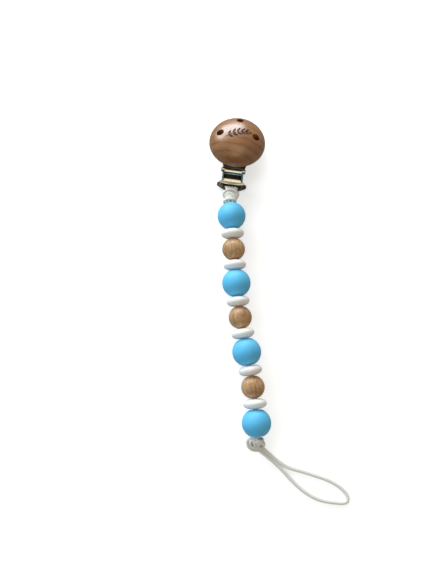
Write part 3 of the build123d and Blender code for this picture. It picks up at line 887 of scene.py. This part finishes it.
me = lathe("turned_cover", cover_profile(), SEAT_M, segs=224, closed=False)
cover = add("turned_cover", me)
me.materials.append(COVER)
vents = prisms("vent_cutter", [circle_poly(-9.6, 0, 1.9), circle_poly(9.6, 0, 1.9), circle_poly(0, 9.6, 1.9)], -2, 16, VENT)
boolean(cover, vents)
pilots = prisms("pilot_cutter", [circle_poly(-4.0, 0, 0.82, 40), circle_poly(4.0, 0, 0.82, 40)], -2, 4.6, VENT)
boolean(cover, pilots)
# generic sprig: a stem with paired leaves
stem = [(-6.5 + 11.6 * t, -2.7 + 3.4 * t + 1.1 * math.sin((t - 0.1) * 2.9)) for t in np.linspace(0, 1, 40)]
polys = [stroke(stem, 0.40, 0.20)]
for k, t in enumerate((0.15, 0.33, 0.51, 0.69, 0.86)):
    i = int(t * 39)
    a = math.atan2(stem[i + 1][1] - stem[i - 1][1], stem[i + 1][0] - stem[i - 1][0])
    size = 3.7 - 2.0 * abs(t - 0.45)
    for sgn in (1, -1):
        d = a + sgn * math.radians(48 - 14 * t)
        base = (stem[i][0] + 0.36 * math.cos(d), stem[i][1] + 0.36 * math.sin(d))
        polys += leaf(base, d, size * (1.0 if sgn > 0 else 0.86), 1.3)
polys += leaf((stem[-1][0] + 0.3, stem[-1][1] + 0.02), math.radians(2), 2.0, 1.0)
sprig = prisms("sprig_cutter", polys, 4.0, 16, BURNT)
core_me = lathe("sprig_floor", cover_profile(0.16), SEAT_M, segs=224, closed=False)
core_me.materials.append(BURNT)
floor_ob = add("sprig_floor", core_me)
boolean(sprig, floor_ob, own=True)
boolean(cover, sprig, own=True)
for o in (vents, pilots, sprig, floor_ob):
    bpy.data.objects.remove(o)
cover.data.name = "turned_cover"
smooth(cover.data, 28)
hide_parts("wood_cover")
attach(cover, "jaw")


# ---------------------------------------------------------------------------
# pressed metal: the CAD shape with its edges broken, as after tumbling
# ---------------------------------------------------------------------------
def refine(node, name, width, mat, body, angle=28):
    src = nodes[node]
    me = src.data.copy()
    me.materials.clear()
    me.materials.append(mat)
    bm = bmesh.new()
    bm.from_mesh(me)
    bmesh.ops.remove_doubles(bm, verts=bm.verts, dist=2e-6)
    bmesh.ops.dissolve_limit(bm, angle_limit=math.radians(1.2), verts=bm.verts, edges=bm.edges)
    sharp = [e for e in bm.edges if len(e.link_faces) == 2 and e.calc_face_angle(0) > math.radians(angle)]
    bmesh.ops.bevel(bm, geom=sharp, offset=width * MM, offset_type="OFFSET", segments=3, profile=0.5, affect="EDGES", clamp_overlap=True)
    for f in bm.faces:
        f.material_index = 0
    bmesh.ops.triangulate(bm, faces=[f for f in bm.faces if len(f.verts) > 4])
    bm.to_mesh(me)
    bm.free()
    me.name = name
    ob = add(name, me)
    smooth(me, 24)
    md = ob.modifiers.new("normals", "WEIGHTED_NORMAL")
    md.keep_sharp = True
    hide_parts(node)
    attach(ob, body)
    return ob


refine("base_plate", "pressed_base", 0.20, DULL_SHADED_NICKEL, "clip_base")
refine("lever", "pressed_lever", 0.15, LEVER_NICKEL, "lever")
refine("jaw_plate", "pressed_jaw", 0.10, NICKEL, "jaw")
for node, mat in (("lever_pin", PIN_STEEL), ("jaw_pin", PIN_STEEL), ("leaf_spring", SPRING), ("spring_rivet", PIN_STEEL), ("cover_screws", SCREW), ("jaw_insert", MILKY)):
    o = nodes[node]
    o.data.materials.clear()
    o.data.materials.append(mat)
    for p in o.data.polygons:
        p.material_index = 0

# ---------------------------------------------------------------------------
# stage: pale floor, soft light from the clip's end
# ---------------------------------------------------------------------------
FLOOR_GLOW = 0.58


def card(name, corners, colour, strength, camera=False, diffuse=False, glossy=True):
    """A reflector or floor sheet: seen only by the rays it is there for."""
    m = Mat(name)
    m.set(Base_Color=colour, Roughness=0.9)
    m.b.inputs["Specular IOR Level"].default_value = 0.0
    m.b.inputs["Emission Color"].default_value = colour
    m.b.inputs["Emission Strength"].default_value = strength
    me = from_arrays(name, corners, [[0, 1, 2, 3]])
    me.materials.append(m.m)
    ob = add(name, me)
    ob.visible_camera = camera
    ob.visible_diffuse = diffuse
    ob.visible_glossy = glossy
    ob.visible_shadow = False
    ob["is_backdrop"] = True
    return ob


def flat(size, z):
    s = size / 2
    return [(-s, -s, z), (s, -s, z), (s, s, z), (-s, s, z)]


def facing(centre, aim, w, h):
    c, d = Vector(centre), (Vector(aim) - Vector(centre)).normalized()
    x = d.cross(Vector((0, 0, 1))).normalized() if abs(d.z) < 0.98 else Vector((1, 0, 0))
    y = x.cross(d).normalized()
    return [tuple(c + x * a * w / 2 + y * b * h / 2) for a, b in ((-1, -1), (1, -1), (1, 1), (-1, 1))]


card("floor", flat(3.0, 0.0), srgb(240, 240, 240), FLOOR_GLOW, camera=True, glossy=False)
card("under_floor", flat(3.0, -0.0004), srgb(152, 150, 145), 0.0, diffuse=True)
card("cream_card", facing((0.04, -0.06, 0.62), (0, 0.05, 0), 0.46, 0.48), (1.0, 0.92, 0.70, 1), 0.42)
card("dark_card", facing((0.0, -0.52, 0.34), (0, 0.05, 0), 1.1, 0.62), (0.012, 0.012, 0.012, 1), 0.0)


def area(name, loc, aim, size, power, colour=(1, 1, 1), size_y=None):
    ld = bpy.data.lights.new(name, "AREA")
    ld.energy = power
    ld.color = colour
    ld.shape = "RECTANGLE"
    ld.size = size
    ld.size_y = size_y or size
    ob = bpy.data.objects.new(name, ld)
    scene.collection.objects.link(ob)
    ob.location = loc
    d = Vector(aim) - Vector(loc)
    ob.rotation_euler = d.to_track_quat("-Z", "Y").to_euler()
    return ob


area("window", (-0.25, 0.84, 0.32), (0, 0.0, 0), 1.05, 12.6, (0.95, 0.985, 1.0), 0.50)
area("side_sky", (-0.80, -0.05, 0.42), (0, 0, 0), 0.6, 3.6, (0.66, 0.84, 1.0)).visible_glossy = False
area("warm_fill", (0.62, -0.45, 0.55), (0, 0, 0), 0.7, 1.7, (1.0, 0.91, 0.78)).visible_glossy = False
world = bpy.data.worlds.new("studio")
scene.world = world
world.use_nodes = True
world.node_tree.nodes["Background"].inputs[0].default_value = (1.0, 0.94, 0.86, 1)
world.node_tree.nodes["Background"].inputs[1].default_value = 0.29
scene.view_settings.view_transform = "Standard"

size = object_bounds()
